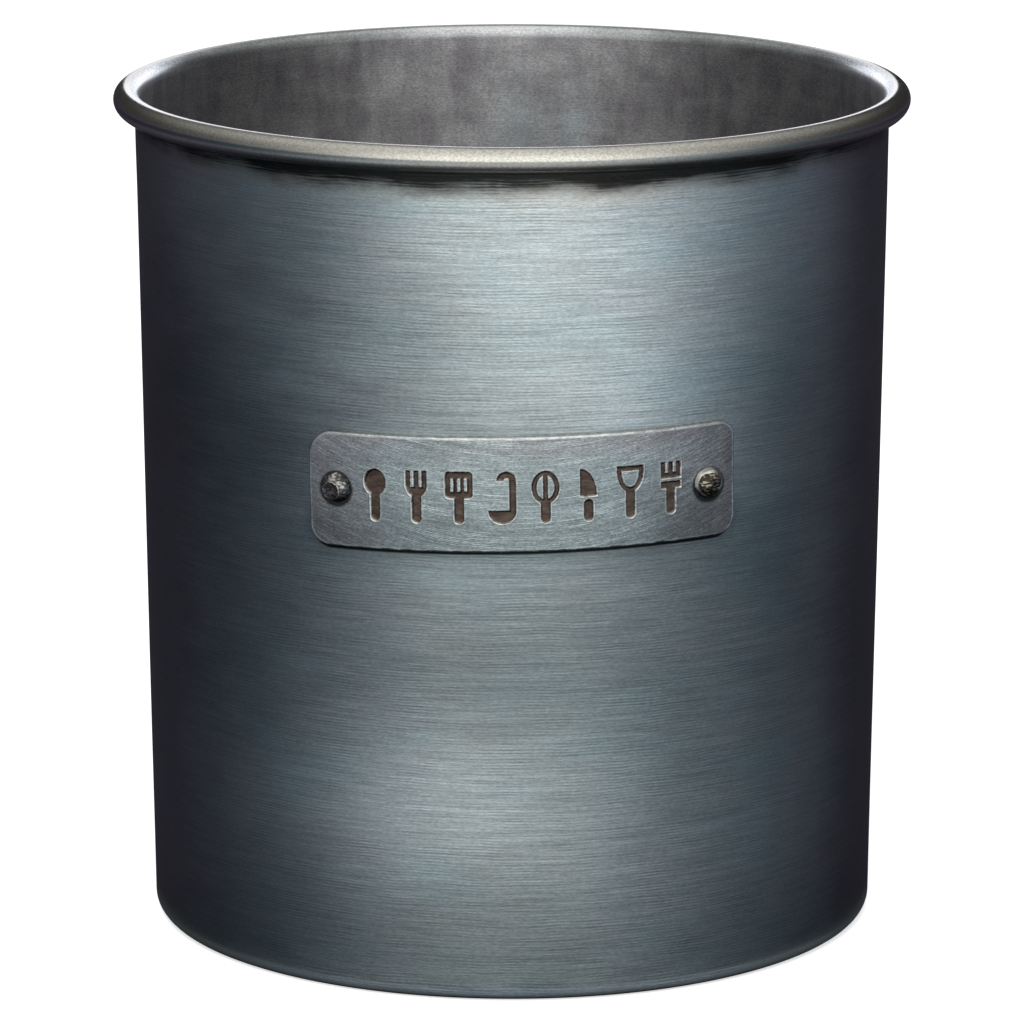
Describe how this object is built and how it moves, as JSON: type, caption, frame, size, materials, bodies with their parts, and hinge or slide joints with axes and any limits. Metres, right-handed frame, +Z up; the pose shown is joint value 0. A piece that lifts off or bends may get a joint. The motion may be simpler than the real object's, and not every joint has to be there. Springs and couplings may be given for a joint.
{
  "type": "utensil holder",
  "caption": "Open round sheet-metal can with a rolled wired rim and a stamped plate riveted to its front, for standing kitchen utensils in.",
  "frame": {"origin": "centre of the foot, on the surface that the can stands on", "axes": "+Z up the can's own axis, -Y out of the front that carries the plate, +X to the right as one faces the plate"},
  "size_m": [0.14, 0.14, 0.149],
  "materials": {
    "can_sheet": "dark antique patina over fine brushing that runs round the can, satin",
    "wire": "plain drawn iron wire, hidden in the roll",
    "plate_sheet": "dark antique patina with worn bright edges and brown recesses, satin",
    "rivet_dark": "hammered, dark patina",
    "rivet_bright": "hammered, worn bright like pewter"
  },
  "bodies": {
    "root": {"can": "can_sheet", "rim_wire": "wire", "front_plate": "plate_sheet", "rivet_left": "rivet_dark", "rivet_right": "rivet_bright"}
  },
  "joints": []
}
